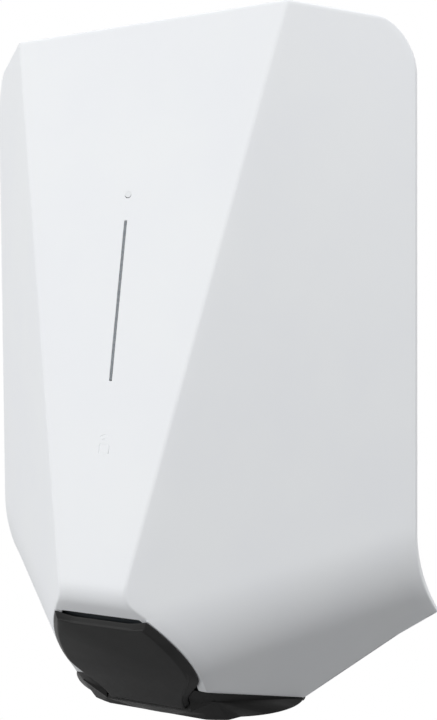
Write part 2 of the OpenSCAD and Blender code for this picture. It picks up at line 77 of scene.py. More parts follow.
body = {
    "top": 112, "bottom": -144,
    "sideWidth": 182.8, "sideDepth": 25.1,  # rear edges of the two side faces
    "depth": 105.7, "faceDepth": 62.8,  # from the wall to the nose, and to the top of the front face
    "noseWidth": 22.8, "noseRound": 9,
    "cornerRound": 19,
    "chinHeight": 57.3, "chinLean": rad(40.5),
    "bendHeight": 71.1, "bendFall": rad(9.34), "bendRound": 64, "underLean": rad(29.5),
    "tipWidth": 193, "tipHeight": 31, "flareHeight": 35,
    "rim": 4, "rimFade": 2, "levelSet": 0.1, "solveSteps": 60,
    "capCorner": (50, -30), "seamHeight": 1.5, "seamFall": rad(19.9),
    "steps": ((74.5, 16.7), (69.8, 14.7)),
}
noseZ = body["bottom"] + body["chinHeight"]
faceLean = math.atan((body["depth"] - body["faceDepth"]) / (body["top"] - noseZ))
noseY = -(body["depth"] + body["noseRound"] * (
    cos((body["chinLean"] - faceLean) / 2) / cos((body["chinLean"] + faceLean) / 2) - 1))
faceTilt = math.atan((-noseY - body["faceDepth"]) / (body["top"] - noseZ))
flankTurn = math.atan((body["sideWidth"] - body["noseWidth"]) / 2 / (-noseY - body["sideDepth"]))
turnSin, turnCos = sin(flankTurn), cos(flankTurn)
bendZ = body["bottom"] + body["bendHeight"]
tipZ = body["bottom"] + body["tipHeight"]
flareZ = tipZ + body["flareHeight"]
rearY = -(body["sideDepth"] - body["rim"])
seamZ = body["bottom"] + body["seamHeight"]
chinLean = body["chinLean"]
faceOut = Vector((0, -cos(faceTilt), sin(faceTilt)))
faceUp = Vector((0, sin(faceTilt), cos(faceTilt)))
chinOut = Vector((0, -cos(chinLean), -sin(chinLean)))
chinDown = Vector((0, sin(chinLean), -cos(chinLean)))
nose = Vector((0, noseY, noseZ))
wellDown = 37  # from the nose to the middle of the socket


def chinPoint(x, up, out):  # up and out from the middle of the socket
    return Vector((x, 0, 0)) + nose + chinDown * (wellDown - up) + chinOut * out


def bend(p, inset):  # how far a side face stands from its plane, p up or down from its bend
    r = body["bendRound"] - inset
    lean = body["underLean"]
    if p >= 0:
        return -inset
    if p > -r * sin(lean):
        return -(body["bendRound"] - sqrt(r * r - p * p))
    return -(body["bendRound"] - r * cos(lean)) + (p + r * sin(lean)) * tan(lean)


def flankPush(t, z, inset):
    fallen = bend((z - bendZ) * cos(body["bendFall"]) + t * sin(body["bendFall"]), inset)
    return max(fallen, bend(z - bendZ, inset + body["levelSet"]))


def flankPoint(t, z, inset):  # t runs forwards along the right side face from its rear edge
    push = flankPush(t, z, inset)
    return (body["sideWidth"] / 2 + turnCos * push - turnSin * t,
            -body["sideDepth"] - turnSin * push - turnCos * t)


def flankAt(z, inset, x=None, y=None):  # the t at which the side face comes to this x or y
    t = 0.0
    for _ in range(body["solveSteps"]):
        push = flankPush(t, z, inset)
        if x is None:
            t = (-body["sideDepth"] - turnSin * push - y) / turnCos
        else:
            t = (body["sideWidth"] / 2 + turnCos * push - x) / turnSin
    return t


def flankX(y, z):
    return flankPoint(flankAt(z, 0, y=y), z, 0)[0]


def frontY(z, inset):  # the front face, the roll of the nose and the chin
    r = body["noseRound"] - inset
    a, b = nose.dot(faceOut) - inset, nose.dot(chinOut) - inset
    d = faceOut.y * chinOut.z - faceOut.z * chinOut.y
    cy = ((a - r) * chinOut.z - (b - r) * faceOut.z) / d
    cz = (faceOut.y * (b - r) - (a - r) * chinOut.y) / d
    if z >= cz + r * faceOut.z:
        return (a - z * faceOut.z) / faceOut.y
    if z <= cz + r * chinOut.z:
        return (b - z * chinOut.z) / chinOut.y
    return cy - sqrt(r * r - (z - cz) ** 2)


def chinY(z):
    return (nose.dot(chinOut) - z * chinOut.z) / chinOut.y


def sideX(z, inset):  # the outline from the front, with the round top corners and the flared tips
    r = body["cornerRound"] - inset
    x = body["sideWidth"] / 2 - inset
    up = (z - (body["top"] - body["cornerRound"])) / r
    if up > 0:
        return x - r * turnSin * (1 - sqrt(max(0, 1 - up * up)))
    flare = (body["tipWidth"] - body["sideWidth"]) / 2
    if z >= tipZ:
        return x + flare * max(0, (flareZ - z) / body["flareHeight"]) ** 2
    corners = [(body["tipWidth"] / 2, tipZ)]
    corners += [(sx, body["bottom"] + sz) for sx, sz in body["steps"]] + [(body["capCorner"][0], seamZ)]
    for (xa, za), (xb, zb) in zip(corners, corners[1:]):
        if z >= zb:
            return min(x + flare, xa + (xb - xa) * (za - z) / (za - zb))
    return body["capCorner"][0]


def rearEdge(z):  # how far back the cover's rim reaches
    low = tipZ + body["rimFade"]
    if z >= flareZ:
        return rearY
    if z >= low:
        return rearY * (1 - ((flareZ - z) / (flareZ - low)) ** 1.5)
    return body["capCorner"][1] * (low - z) / (low - seamZ)


def seamY(z):
    return body["capCorner"][1] - (z - seamZ) / tan(body["seamFall"])


# Small tools for meshes

arcLimits = {"least": 1e-4, "flattest": rad(89), "share": 0.45}  # past the first two a corner stays plain


def roundOff(a, corner, b, radius, count):  # a corner between a and b as an arc of count + 1 points
    toA, toB = a - corner, b - corner
    la, lb = toA.length, toB.length
    plain = [corner.copy() for _ in range(count + 1)]
    if min(la, lb) < arcLimits["least"]:
        return plain
    toA, toB = toA / la, toB / lb
    half = toA.angle(toB) / 2
    if half > arcLimits["flattest"]:
        return plain
    reach = min(radius / tan(half), arcLimits["share"] * la, arcLimits["share"] * lb)
    radius = reach * tan(half)
    middle = corner + (toA + toB).normalized() * (radius / sin(half))
    start, end = corner + toA * reach - middle, corner + toB * reach - middle
    sweep = start.angle(end) if start.length > 1e-6 else 0
    if sweep < arcLimits["least"]:
        return plain
    return [middle + (start * sin(sweep * (1 - i / count)) + end * sin(sweep * i / count)) / sin(sweep)
            for i in range(count + 1)]


def weld(mesh, merge):
    bmesh.ops.remove_doubles(mesh, verts=mesh.verts, dist=merge)
    bmesh.ops.dissolve_degenerate(mesh, edges=mesh.edges, dist=merge)


def crisp(mesh, sharp):  # smooth faces, with the edges over this angle in degrees left sharp
    for face in mesh.faces:
        face.smooth = True
    for edge in mesh.edges:
        edge.smooth = len(edge.link_faces) == 2 and edge.calc_face_angle(0) < rad(sharp)


def finish(mesh, name, sharp=30, merge=1e-6):  # a bmesh in metres becomes a piece, with its faces outward
    weld(mesh, merge)
    bmesh.ops.recalc_face_normals(mesh, faces=mesh.faces)
    if mesh.calc_volume(signed=True) < 0:
        bmesh.ops.reverse_faces(mesh, faces=mesh.faces)
    crisp(mesh, sharp)
    data = bpy.data.meshes.new(name)
    mesh.to_mesh(data)
    mesh.free()
    return addObject(name, data)


def allOf(mesh):
    return mesh.verts[:] + mesh.edges[:] + mesh.faces[:]


def convex(planes, reach=0.3):  # the solid behind every plane, each a point and an outward normal in mm
    mesh = bmesh.new()
    bmesh.ops.create_cube(mesh, size=reach)
    for point, normal in planes:
        cut = bmesh.ops.bisect_plane(mesh, geom=allOf(mesh), dist=1e-8, plane_co=Vector(point) * milli,
                                     plane_no=Vector(normal), clear_outer=True)
        edges = [e for e in cut["geom_cut"] if isinstance(e, bmesh.types.BMEdge)]
        if edges:
            bmesh.ops.edgenet_fill(mesh, edges=edges)
    return mesh


def carve(piece, cutter, kind="DIFFERENCE"):  # the cutter is a bmesh or an object, and is used up
    if isinstance(cutter, bmesh.types.BMesh):
        cutter = finish(cutter, "cutter")
    step = piece.modifiers.new("carve", "BOOLEAN")
    step.operation, step.solver, step.object = kind, "EXACT", cutter
    settle(piece)
    bpy.data.objects.remove(cutter)


def settle(piece):  # the modifiers' result becomes the piece's own mesh
    bpy.context.view_layer.update()
    result = bpy.data.meshes.new_from_object(piece.evaluated_get(bpy.context.evaluated_depsgraph_get()))
    piece.modifiers.clear()
    old = piece.data
    piece.data = result
    result.name = piece.name
    bpy.data.meshes.remove(old)


def shade(piece, sharp=30, merge=2e-6):  # welds a cut piece and sets its smooth and sharp edges again
    mesh = bmesh.new()
    mesh.from_mesh(piece.data)
    weld(mesh, merge)
    crisp(mesh, sharp)
    mesh.to_mesh(piece.data)
    mesh.free()


def box(low, high, unit=milli):
    mesh = bmesh.new()
    bmesh.ops.create_cube(mesh, size=1)
    for vert in mesh.verts:
        vert.co = Vector([(high[i] if vert.co[i] > 0 else low[i]) * unit for i in range(3)])
    return mesh


def rod(radius, length, sides):
    mesh = bmesh.new()
    bmesh.ops.create_cone(mesh, cap_ends=True, segments=sides, radius1=radius, radius2=radius, depth=length)
    return mesh


def turned(mesh, place):  # moves a bmesh that was made in mm round its own origin
    bmesh.ops.transform(mesh, matrix=Matrix.Scale(milli, 4) @ place, verts=mesh.verts)
    return mesh


def ring(mesh, points):
    return [mesh.verts.new(p * milli) for p in points]


def stitch(mesh, a, b, closed=True):  # quads between two rows of as many points
    for i in range(len(a) if closed else len(a) - 1):
        j = (i + 1) % len(a)
        if len({a[i], a[j], b[j], b[i]}) == 4:
            mesh.faces.new((a[i], a[j], b[j], b[i]))


def loft(mesh, rows, closed=True):
    rings = [ring(mesh, row) for row in rows]
    for a, b in zip(rings, rings[1:]):
        stitch(mesh, a, b, closed)
    return rings


# Materials

def linear(code):  # an sRGB hex value as Blender wants it
    parts = [int(code[i:i + 2], 16) / 255 for i in (1, 3, 5)]
    return tuple(c / 12.92 if c <= 0.04045 else ((c + 0.055) / 1.055) ** 2.4 for c in parts) + (1,)


def addNode(tree, kind, settings=None, links=None):
    node = tree.nodes.new(kind)
    for name, value in (settings or {}).items():
        if isinstance(name, str) and hasattr(node, name):
            setattr(node, name, value)
        else:
            node.inputs[name].default_value = value
    for name, source in (links or {}).items():
        tree.links.new(source, node.inputs[name])
    return node


def newMaterial(name, settings):
    material = bpy.data.materials.new(name)
    material.use_nodes = True
    tree = material.node_tree
    shader = tree.nodes["Principled BSDF"]
    for key, value in settings.items():
        shader.inputs[key].default_value = value
    place = addNode(tree, "ShaderNodeTexCoord").outputs["Object"]
    return material, tree, shader, place


def mottled(tree, shader, place, light, dark, size):  # two close tones in patches of this size in mm
    patches = {"Scale": 1 / (size * milli), "Detail": 3.0}
    noise = addNode(tree, "ShaderNodeTexNoise", patches, {"Vector": place})
    ramp = addNode(tree, "ShaderNodeValToRGB", links={"Fac": noise.outputs["Fac"]})
    low, high = ramp.color_ramp.elements
    low.position, high.position = 0.35, 0.65
    low.color, high.color = linear(dark), linear(light)
    tree.links.new(ramp.outputs["Color"], shader.inputs["Base Color"])
    return noise


def raised(tree, shader, height, strength, depth):  # a bump, its depth in mm
    size = {"Strength": strength, "Distance": depth * milli}
    bump = addNode(tree, "ShaderNodeBump", size, {"Height": height})
    tree.links.new(bump.outputs["Normal"], shader.inputs["Normal"])


def grained(tree, shader, place, size, depth, strength, stretch):  # a bumpy grain, in mm
    spot = addNode(tree, "ShaderNodeMapping", {"Scale": stretch}, {"Vector": place}).outputs["Vector"]
    fine = {"Scale": 1 / (size * milli), "Detail": 2.0, "Roughness": 0.6}
    grain = addNode(tree, "ShaderNodeTexNoise", fine, {"Vector": spot})
    raised(tree, shader, grain.outputs["Fac"], strength, depth)


def uneven(tree, shader, source, low, high):  # roughness that wanders with a noise
    ends = {"From Min": 0.3, "From Max": 0.7, "To Min": low, "To Max": high}
    span = addNode(tree, "ShaderNodeMapRange", ends, {"Value": source.outputs["Fac"]})
    tree.links.new(span.outputs["Result"], shader.inputs["Roughness"])


def surface(name, settings, tones, grain, rough, stretch=(1, 1, 1)):
    material, tree, shader, place = newMaterial(name, settings)
    tone = mottled(tree, shader, place, *tones)  # light, dark and the size of the patches
    grained(tree, shader, place, *grain, stretch)  # size, depth and strength
    uneven(tree, shader, tone, *rough)  # least and most roughness
    return material


# Synthetic rubber, compression moulded: dull black, slightly blotchy, with a fine matt tooth
def rubberMoulded(name, light, dark, rough):
    return surface(name, {"IOR": 1.52, "Specular IOR Level": 0.14},
                   (light, dark, 9), (0.3, 0.012, 0.8), (rough - 0.05, rough + 0.05))


# ABS, injection moulded: even tone, a soft sheen and a light texture from the tool
def absMoulded(name, light, dark, rough, grain=0.4, depth=0.01):
    return surface(name, {"IOR": 1.54}, (light, dark, 14), (grain, depth, 0.7), (rough - 0.05, rough + 0.06))


# Steel, cold headed and zinc plated or hardened: pale grey, with a fine grain and duller patches
def steelZinced(name, light, dark, rough):
    return surface(name, {"Metallic": 1.0},
                   (light, dark, 1.8), (0.18, 0.006, 0.6), (rough - 0.06, rough + 0.1))


# Brass, turned, bare or silver plated: fine tool marks in bands, and slightly warmer patches
def brassPlated(name, light, dark):
    material, tree, shader, place = newMaterial(name, {"Metallic": 1.0})
    tone = mottled(tree, shader, place, light, dark, 2.5)
    bands = {"wave_type": "BANDS", "bands_direction": "Z", "Scale": 900.0, "Distortion": 0.4}  # 0.35 mm apart
    wave = addNode(tree, "ShaderNodeTexWave", bands, {"Vector": place})
    raised(tree, shader, wave.outputs["Fac"], 0.25, 0.01)
    uneven(tree, shader, tone, 0.2, 0.32)
    return material


# Glass-epoxy laminate under green solder resist: a dark weave shows through, with lighter copper tracks
def laminateResist():
    material, tree, shader, place = newMaterial("laminateResist", {"IOR": 1.55, "Coat Weight": 0.3})
    threads = {"Scale": 1 / (0.5 * milli), "Color1": linear("#1f5a33"), "Color2": linear("#1b5230")}
    weave = addNode(tree, "ShaderNodeTexChecker", threads, {"Vector": place})
    black, white = (0, 0, 0, 1), (1, 1, 1, 1)
    lines = {"Scale": 1 / (6 * milli), "Mortar Size": 0.03, "Mortar Smooth": 0.1, "offset": 0.5,
             "Color1": black, "Color2": black, "Mortar": white}
    flat = addNode(tree, "ShaderNodeMapping", {"Rotation": (rad(90), 0, 0)}, {"Vector": place})
    tracks = addNode(tree, "ShaderNodeTexBrick", lines, {"Vector": flat.outputs["Vector"]})
    tint = addNode(tree, "ShaderNodeMix", {"data_type": "RGBA", 7: linear("#3f8a4e")},
                   {0: tracks.outputs["Color"], 6: weave.outputs["Color"]})
    tree.links.new(tint.outputs[2], shader.inputs["Base Color"])
    raised(tree, shader, tracks.outputs["Color"], 0.4, 0.03)
    shader.inputs["Roughness"].default_value = 0.35
    return material


finishes = {
    # Polycarbonate, moulded in a spark-eroded tool: satin white, with a grain that only glancing light shows
    "front_cover": surface("polycarbonateMoulded", {"IOR": 1.5, "Specular IOR Level": 0.15},
        ("#f1f3f5", "#eff1f4", 40), (0.35, 0.004, 0.5), (0.55, 0.62)),
    "socket_flap": rubberMoulded("rubberFlap", "#272727", "#222222", 0.5),
    "bottom_cap": rubberMoulded("rubberCap", "#121212", "#0f0f0f", 0.55),
    "entry_grommets unit_gasket socket_seal": rubberMoulded("rubberSeal", "#1f1f1f", "#191919", 0.6),
    # Acrylic, cast with a smoke tint: the light bar is off, so it reads as a dark glossy line
    "light_strip": surface("acrylicSmoked", {"IOR": 1.49, "Coat Weight": 0.4},
        ("#646b71", "#5b6268", 1.2), (0.25, 0.003, 0.4), (0.22, 0.32)),
    # Acrylic, moulded with a white diffuser in it: as pale as the cover, so the spot shows by its outline
    "touch_dot": surface("acrylicDiffuser", {"IOR": 1.49, "Specular IOR Level": 0.35},
        ("#eaecee", "#e4e7e9", 0.8), (0.2, 0.003, 0.4), (0.45, 0.55)),
    "backplate": absMoulded("absPlate", "#d9dadb", "#d3d4d6", 0.5, 0.6, 0.02),
    "unit_rear_housing unit_front_housing socket_housing socket_bracket":
        absMoulded("absUnit", "#3c4044", "#363a3e", 0.5, 0.6, 0.02),
    "terminal_block terminal_cover": absMoulded("absTerminals", "#d8d2bf", "#cfc8b3", 0.42),
    "relays current_sensor socket_insert lock_housing": absMoulded("absBlack", "#26282a", "#202224", 0.4),
    "terminal_screws unit_screws board_screws socket_screws":
        steelZinced("steelZinced", "#b9bec4", "#a3a8af", 0.34),
    "lock_pin lock_gear": steelZinced("steelHardened", "#a4a7aa", "#8e9195", 0.3),
    "reader_antenna touch_pad": brassPlated("brassTurned", "#c9a55c", "#b8924a"),
    "plug_blades power_contacts signal_contacts": brassPlated("silverPlated", "#d7d4cb", "#c9c2b0"),
    "main_board led_board": laminateResist(),
    # Aluminium, deep drawn into a can: bright, with drawing lines up the wall
    "capacitors lock_motor": surface("aluminiumDrawn", {"Metallic": 1.0},
        ("#cfd2d4", "#bcc0c3", 3), (0.3, 0.008, 0.5), (0.28, 0.4), (1, 0.05, 1)),
    # Ferrite, pressed and sintered: charcoal and gritty, with a faint glint
    "transformer": surface("ferriteSintered", {"IOR": 1.6, "Specular IOR Level": 0.6},
        ("#3d4043", "#2c2f32", 0.8), (0.25, 0.03, 0.8), (0.5, 0.65)),
    # Silicone lens with yellow phosphor, cast in a white case: pale yellow, smooth, with a soft gloss
    "led_chips": surface("phosphorCast", {"IOR": 1.5},
        ("#f4f1dc", "#e9e2a8", 0.7), (0.1, 0.004, 0.4), (0.3, 0.4)),
}
finishOf = {node: material for names, material in finishes.items() for node in names.split()}
for name, node in nodes.items():
    node.data.materials.clear()
    node.data.materials.append(finishOf[name])
print("materials made:", len(finishes))


def dress(piece, node, bodyName):  # a new piece takes a CAD node's finish, place and body
    piece.data.materials.clear()
    piece.data.materials.append(finishOf[node])
    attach(piece, bodyName)
    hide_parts(node)


# The white cover: a shell lofted through level sections, half of it made and then mirrored

cover = {
    "wall": 2.5, "rounds": (2.2, 1.6), "innerRounds": (1.0, 0.8),  # at the crease and at the rear edge
    "rimRound": 0.45, "topRound": 1.0, "lipRound": 0.3, "leastWall": 0.05,
    "chinStrip": 9.6,  # from the nose down to the flap
    "facePoints": 4, "flankPoints": 18, "arcPoints": 4, "wallPoints": 2, "rimPoints": 3,
    "topRows": 4, "cornerRows": 10, "evenRows": (80, -66, -16), "fineFrom": -66, "fineRows": 22,
    "cheekStops": ((-110, 1.6), (tipZ + 2, 0.5), (tipZ, 0.5), (-126, 1.3), (-128, 0.5), (seamZ + 0.12, 1.2)),
    "sharp": 24, "merge": 3e-6, "noLimit": 999,
    "stripLength": 56.3, "stripWidth": 1.0, "stripGap": 0.12, "cutDepth": 8,
    "dotRadius": 1.2, "dotGap": 0.06, "dotSides": 32,
    "hookX": (34, 46), "hookZ": (102.3, 111), "hookY": (-33.1, -21.1), "hookBack": 0.2, "hookTop": 0.6,
}


def skin(z, inset, ease, xLimit, frontLimit):  # one level section of a skin, from its front to its rear edge
    edge = rearEdge(z if inset == 0 else xLimit[1])
    side = min(sideX(z, inset), xLimit[0])
    tFront = flankAt(z, inset + ease, y=frontLimit)
    tSide = flankAt(z, inset + ease, x=side)
    if flankPoint(tSide, z, inset + ease)[1] > edge:
        tSide = flankAt(z, inset + ease, y=edge)
    tSide = min(tSide, tFront)
    front = Vector((*flankPoint(tFront, z, inset + ease), z))
    corner = Vector((*flankPoint(tSide, z, inset + ease), z))
    end = Vector((corner.x if corner.y >= edge - 1e-6 else side, max(edge, corner.y), z))
    count = cover["flankPoints"]
    along = [Vector((*flankPoint(tFront + (tSide - tFront) * i / count, z, inset + ease), z))
             for i in range(count + 1)]
    along[0], along[-1] = front, corner
    return front, along, end


def sideRun(front, along, end, rounds, lower):  # one skin's crease arc, side face, edge arc and wall
    arc, count, walls = cover["arcPoints"], cover["flankPoints"], cover["wallPoints"]
    head = [] if lower else roundOff(Vector((0, front.y, front.z)), front, along[3], rounds[0], arc)
    tail = roundOff(along[-4], along[-1], end, rounds[1], arc)
    first = head[-1] if head else front
    total = (along[-1] - along[0]).length or 1
    low = (first - along[0]).length / total
    high = 1 - (along[-1] - tail[0]).length / total
    kept = []
    for i in range(count + 1):  # the side face, spread evenly between its two rounded ends
        k = (low + (high - low) * i / count) * count
        j = min(int(k), count - 1)
        kept.append(along[j].lerp(along[j + 1], k - j))
    kept[0], kept[-1] = first, tail[0]
    return head, kept, tail, [tail[-1].lerp(end, i / walls) for i in range(1, walls + 1)]


def sectionRow(z, zIn, ease, lower):  # a section from the outer skin round the rim to the inner one
    inset, rim, free = cover["wall"], cover["rimPoints"], (cover["noLimit"], z)
    yOut = max(chinY(z), seamY(z)) if lower else frontY(z, ease)
    yIn = yOut if lower else frontY(zIn, inset)
    outer = skin(z, 0, ease, free, yOut)
    inner = skin(zIn, inset, 0, (sideX(z, 0), z) if z < tipZ else free, yIn)
    parts = []
    for points, rounds in ((outer, cover["rounds"]), (inner, cover["innerRounds"])):
        head, flank, tail, wall = sideRun(*points, rounds, lower)
        before = wall[-2] if (wall[-2] - wall[-1]).length > cover["leastWall"] else flank[-3]
        parts.append((head[:-1] + flank + tail[1:] + wall[:-1], head, flank, before, wall[-1]))
    (rowO, headO, flankO, beforeO, endO), (rowI, headI, flankI, beforeI, endI) = parts
    rims = roundOff(beforeO, endO, endI, cover["rimRound"], rim)
    rims += roundOff(endO, endI, beforeI, cover["rimRound"], rim)
    if lower:
        lipO = roundOff(flankI[0], flankO[0], flankO[1], cover["lipRound"], rim)
        lipI = roundOff(flankI[1], flankI[0], flankO[0], cover["lipRound"], rim)
        return lipO + rowO[1:] + rims + rowI[:0:-1] + lipI
    count = cover["facePoints"]
    faceO, faceI = ([Vector((head[0].x * i / count, head[0].y, level)) for i in range(count)]
                    for head, level in ((headO, z), (headI, zIn)))
    return faceO + rowO + rims + rowI[::-1] + faceI[::-1]


def coverHeights():  # the levels of the sections, close together where the shape turns
    top, r, big = body["top"], cover["topRound"], body["cornerRound"]
    rows = []
    for i in range(cover["topRows"] + 1):
        a = rad(90 - 90 / cover["topRows"] * i)
        rows.append((top - r + r * sin(a), r * (1 - cos(a))))
    a = asin((big - r) / big)
    for i in range(1, cover["cornerRows"] + 1):
        rows.append((top - big + big * sin(a * (1 - i / cover["cornerRows"])), 0))
    rows += [(z, 0) for z in range(*cover["evenRows"])]
    low, start, count = noseZ - cover["chinStrip"] * cos(chinLean), cover["fineFrom"], cover["fineRows"]
    rows += [(start + (low - start) * i / count, 0) for i in range(count + 1)]
    return rows, low


def makeCover():
    rows, low = coverHeights()
    top, big, wall, start = body["top"], body["cornerRound"], cover["wall"], cover["fineFrom"]
    face, arc, lip = cover["facePoints"], cover["arcPoints"], cover["rimPoints"]
    lowIn = low + wall * sin(chinLean)  # the opening's edge stands square to the chin
    sections = []
    for z, ease in rows:
        if z > top - big:
            zIn = top - big + (big - wall) * (z - top + big) / big
        else:
            zIn = z if z > start else start + (lowIn - start) * (z - start) / (low - start)
        sections.append(sectionRow(z, zIn, ease, False))
    mesh = bmesh.new()
    grid = loft(mesh, sections, False)
    first, last = grid[0], grid[-1]
    outerEnd, innerEnd = len(first) // 2 - (lip + 1), len(first) // 2 + (lip + 1)
    middle = [mesh.verts.new((0, v.co.y, v.co.z)) for v in first[outerEnd:innerEnd]]
    stitch(mesh, first[outerEnd:innerEnd], middle, False)
    mesh.faces.new(first[:outerEnd + 1] + [middle[0]])
    mesh.faces.new([middle[-1]] + first[innerEnd - 1:])
    # below the flap's edge only the two cheeks go on, as closed tubes that end in a point at the rear corner
    z, heights = low, [low]
    for stop, step in cover["cheekStops"]:
        count = max(1, round((z - stop) / step))
        heights += [z + (stop - z) * i / count for i in range(1, count + 1)]
        z = stop
    tubes = loft(mesh, [sectionRow(z, z, 0, True) for z in heights])
    mesh.faces.new(tubes[-1])
    # the last whole section joins the first tube along the side face, and closes on itself in front of it
    tube = tubes[0]
    tubeRun = tube[lip:len(tube) - lip]
    stitch(mesh, last[face + arc:len(last) - face - arc], tubeRun, False)
    outerRun, innerRun = last[:face + arc + 1], last[::-1][:face + arc + 1]
    stitch(mesh, outerRun, innerRun, False)
    turnedLip = tube[:lip][::-1] + tube[len(tube) - lip:][::-1]
    mesh.faces.new([outerRun[-1], tube[lip]] + turnedLip + [tubeRun[-1], innerRun[-1]])
    bmesh.ops.remove_doubles(mesh, verts=mesh.verts, dist=2e-6)
    for v in bmesh.ops.duplicate(mesh, geom=allOf(mesh))["geom"]:
        if isinstance(v, bmesh.types.BMVert):
            v.co.x = -v.co.x
    return finish(mesh, "coverShell", cover["sharp"], cover["merge"])


coverShell = makeCover()
print("cover shell lofted:", len(coverShell.data.polygons), "faces")


# Geometry Nodes: small trees whose sizes are named inputs, for what repeats or follows a line

def newTree(name, sizes):  # a tree that takes a mesh, named sizes (m or radians) and a material
    tree = bpy.data.node_groups.new(name, "GeometryNodeTree")
    inputs = [("Geometry", "Geometry"), *((key, "Float") for key in sizes.split()), ("material", "Material")]
    for key, kind in inputs:
        tree.interface.new_socket(key, in_out="INPUT", socket_type="NodeSocket" + kind)
    tree.interface.new_socket("Geometry", in_out="OUTPUT", socket_type="NodeSocketGeometry")
    return tree, tree.nodes.new("NodeGroupInput").outputs


def endTree(tree, given, shape):
    real = addNode(tree, "GeometryNodeRealizeInstances", links={"Geometry": shape})
    links = {"Geometry": real.outputs[0], "Material": given["material"]}
    clad = addNode(tree, "GeometryNodeSetMaterial", links=links)
    tree.links.new(clad.outputs[0], tree.nodes.new("NodeGroupOutput").inputs[0])


def times(tree, source, factor):
    return addNode(tree, "ShaderNodeMath", {"operation": "MULTIPLY", 1: factor}, {0: source}).outputs[0]


def vector(tree, **links):
    return addNode(tree, "ShaderNodeCombineXYZ", links=links).outputs[0]


def atHeight(tree, shape, height):  # moves a mesh up its own Z
    moved = {"Geometry": shape, "Translation": vector(tree, Z=height)}
    return addNode(tree, "GeometryNodeTransform", links=moved).outputs[0]


def cylinder(tree, sides, radius, depth):
    size = {"Radius": radius, "Depth": depth}
    return addNode(tree, "GeometryNodeMeshCylinder", {"Vertices": sides}, size).outputs["Mesh"]


def bar(tree, size):
    return addNode(tree, "GeometryNodeMeshCube", links={"Size": size}).outputs["Mesh"]


def merged(tree, kind, shapes, first=None):
    links = {"Mesh 1": first} if first else None
    node = addNode(tree, "GeometryNodeMeshBoolean", {"operation": kind, "solver": "EXACT"}, links)
    for shape in shapes:
        tree.links.new(shape, node.inputs["Mesh 2"])
    return node.outputs["Mesh"]


def putOnPoints(tree, given, shape, turnBy):
    links = {"Points": given["Geometry"], "Instance": shape, "Rotation": turnBy}
    put = addNode(tree, "GeometryNodeInstanceOnPoints", links=links)
    endTree(tree, given, put.outputs[0])


def grow(name, tree, points, edges, sizes, material):
    data = bpy.data.meshes.new(name)
    data.from_pydata(points, edges, [])
    piece = addObject(name, data)
    step = piece.modifiers.new("shape", "NODES")
    step.node_group = tree
    given = dict(sizes, material=material)
    for item in tree.interface.items_tree:
        if item.item_type == "SOCKET" and item.in_out == "INPUT" and item.name in given:
            step[item.identifier] = given[item.name]
    settle(piece)
    shade(piece)
    return piece


def grooveTree():  # sweeps a round cutter along the lines of a wire mesh
    tree, given = newTree("groove", "radius")
    path = addNode(tree, "GeometryNodeMeshToCurve", links={"Mesh": given["Geometry"]})
    circle = addNode(tree, "GeometryNodeCurvePrimitiveCircle", {"Resolution": symbol["sides"]},
                     {"Radius": given["radius"]})
    sweep = addNode(tree, "GeometryNodeCurveToMesh", {"Fill Caps": True},
                    {"Curve": path.outputs[0], "Profile Curve": circle.outputs[0]})
    endTree(tree, given, sweep.outputs[0])
    return tree


symbol = {
    "height": -39.7, "width": 3.7, "tall": 3.1, "corner": 0.5,  # a card, on the front face
    "waves": (1.5, 2.9), "spread": rad(40), "rise": 0.2, "line": 0.15, "depth": 0.03,
    "cardPoints": 24, "waveSteps": 8, "sides": 8,
}


def facePoint(x, z, out):  # a point by its height on the front face, and out from it
    return Vector((x, (nose.dot(faceOut) - z * faceOut.z) / faceOut.y, z)) + faceOut * out


def symbolWire():  # a rounded card and two waves over it
    centre = facePoint(0, symbol["height"], -symbol["depth"])
    w, h, r = symbol["width"] / 2, symbol["tall"] / 2, symbol["corner"]
    count, steps = symbol["cardPoints"], symbol["waveSteps"]
    spots = []  # to the right and up
    for i in range(count):
        a = rad(360 / count * (i + 0.5))
        cx, cy = (w - r) * (1 if cos(a) > 0 else -1), (h - r) * (1 if sin(a) > 0 else -1)
        spots.append((cx + r * cos(a), cy + r * sin(a)))
    edges = [(i, (i + 1) % count) for i in range(count)]
    for radius in symbol["waves"]:
        first = len(spots)
        for i in range(steps + 1):
            a = symbol["spread"] * (i / (steps / 2) - 1)
            spots.append((radius * sin(a), h + symbol["rise"] + radius * cos(a)))
        edges += [(first + i, first + i + 1) for i in range(steps)]
    return [(centre + Vector((x, 0, 0)) + faceUp * up) * milli for x, up in spots], edges


def cutCover():  # the slot for the light bar, the hole for the touch dot, the hooks and the card symbol
    turnFace = Matrix((Vector((1, 0, 0)), faceUp, faceOut)).transposed().to_4x4()
    half = [(cover["stripWidth"] + cover["stripGap"]) / 2, (cover["stripLength"] + cover["stripGap"]) / 2,
            cover["cutDepth"] / 2]
    slot = box([-v for v in half], half, 1)
    hole = rod(cover["dotRadius"] + cover["dotGap"], cover["cutDepth"], cover["dotSides"])
    for name, cutter in (("light_strip", slot), ("touch_dot", hole)):
        low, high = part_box(name)
        middle = facePoint(0, (low.z + high.z) / 2 / milli, 0)
        carve(coverShell, turned(cutter, Matrix.Translation(middle) @ turnFace))
    (x0, x1), (y0, y1), (z0, z1) = cover["hookX"], cover["hookY"], cover["hookZ"]
    for hand in (1, -1):
        low, high = sorted((x0 * hand, x1 * hand))
        hook = box((low, y0, z0), (high, y1 - cover["hookBack"], z1 - cover["hookTop"]))
        carve(coverShell, hook, "UNION")
    points, edges = symbolWire()
    sizes = {"radius": symbol["line"] * milli}
    carve(coverShell, grow("cutter", grooveTree(), points, edges, sizes, finishOf["front_cover"]))
    shade(coverShell, cover["sharp"])


cutCover()
print("cover cut:", len(coverShell.data.polygons), "faces")


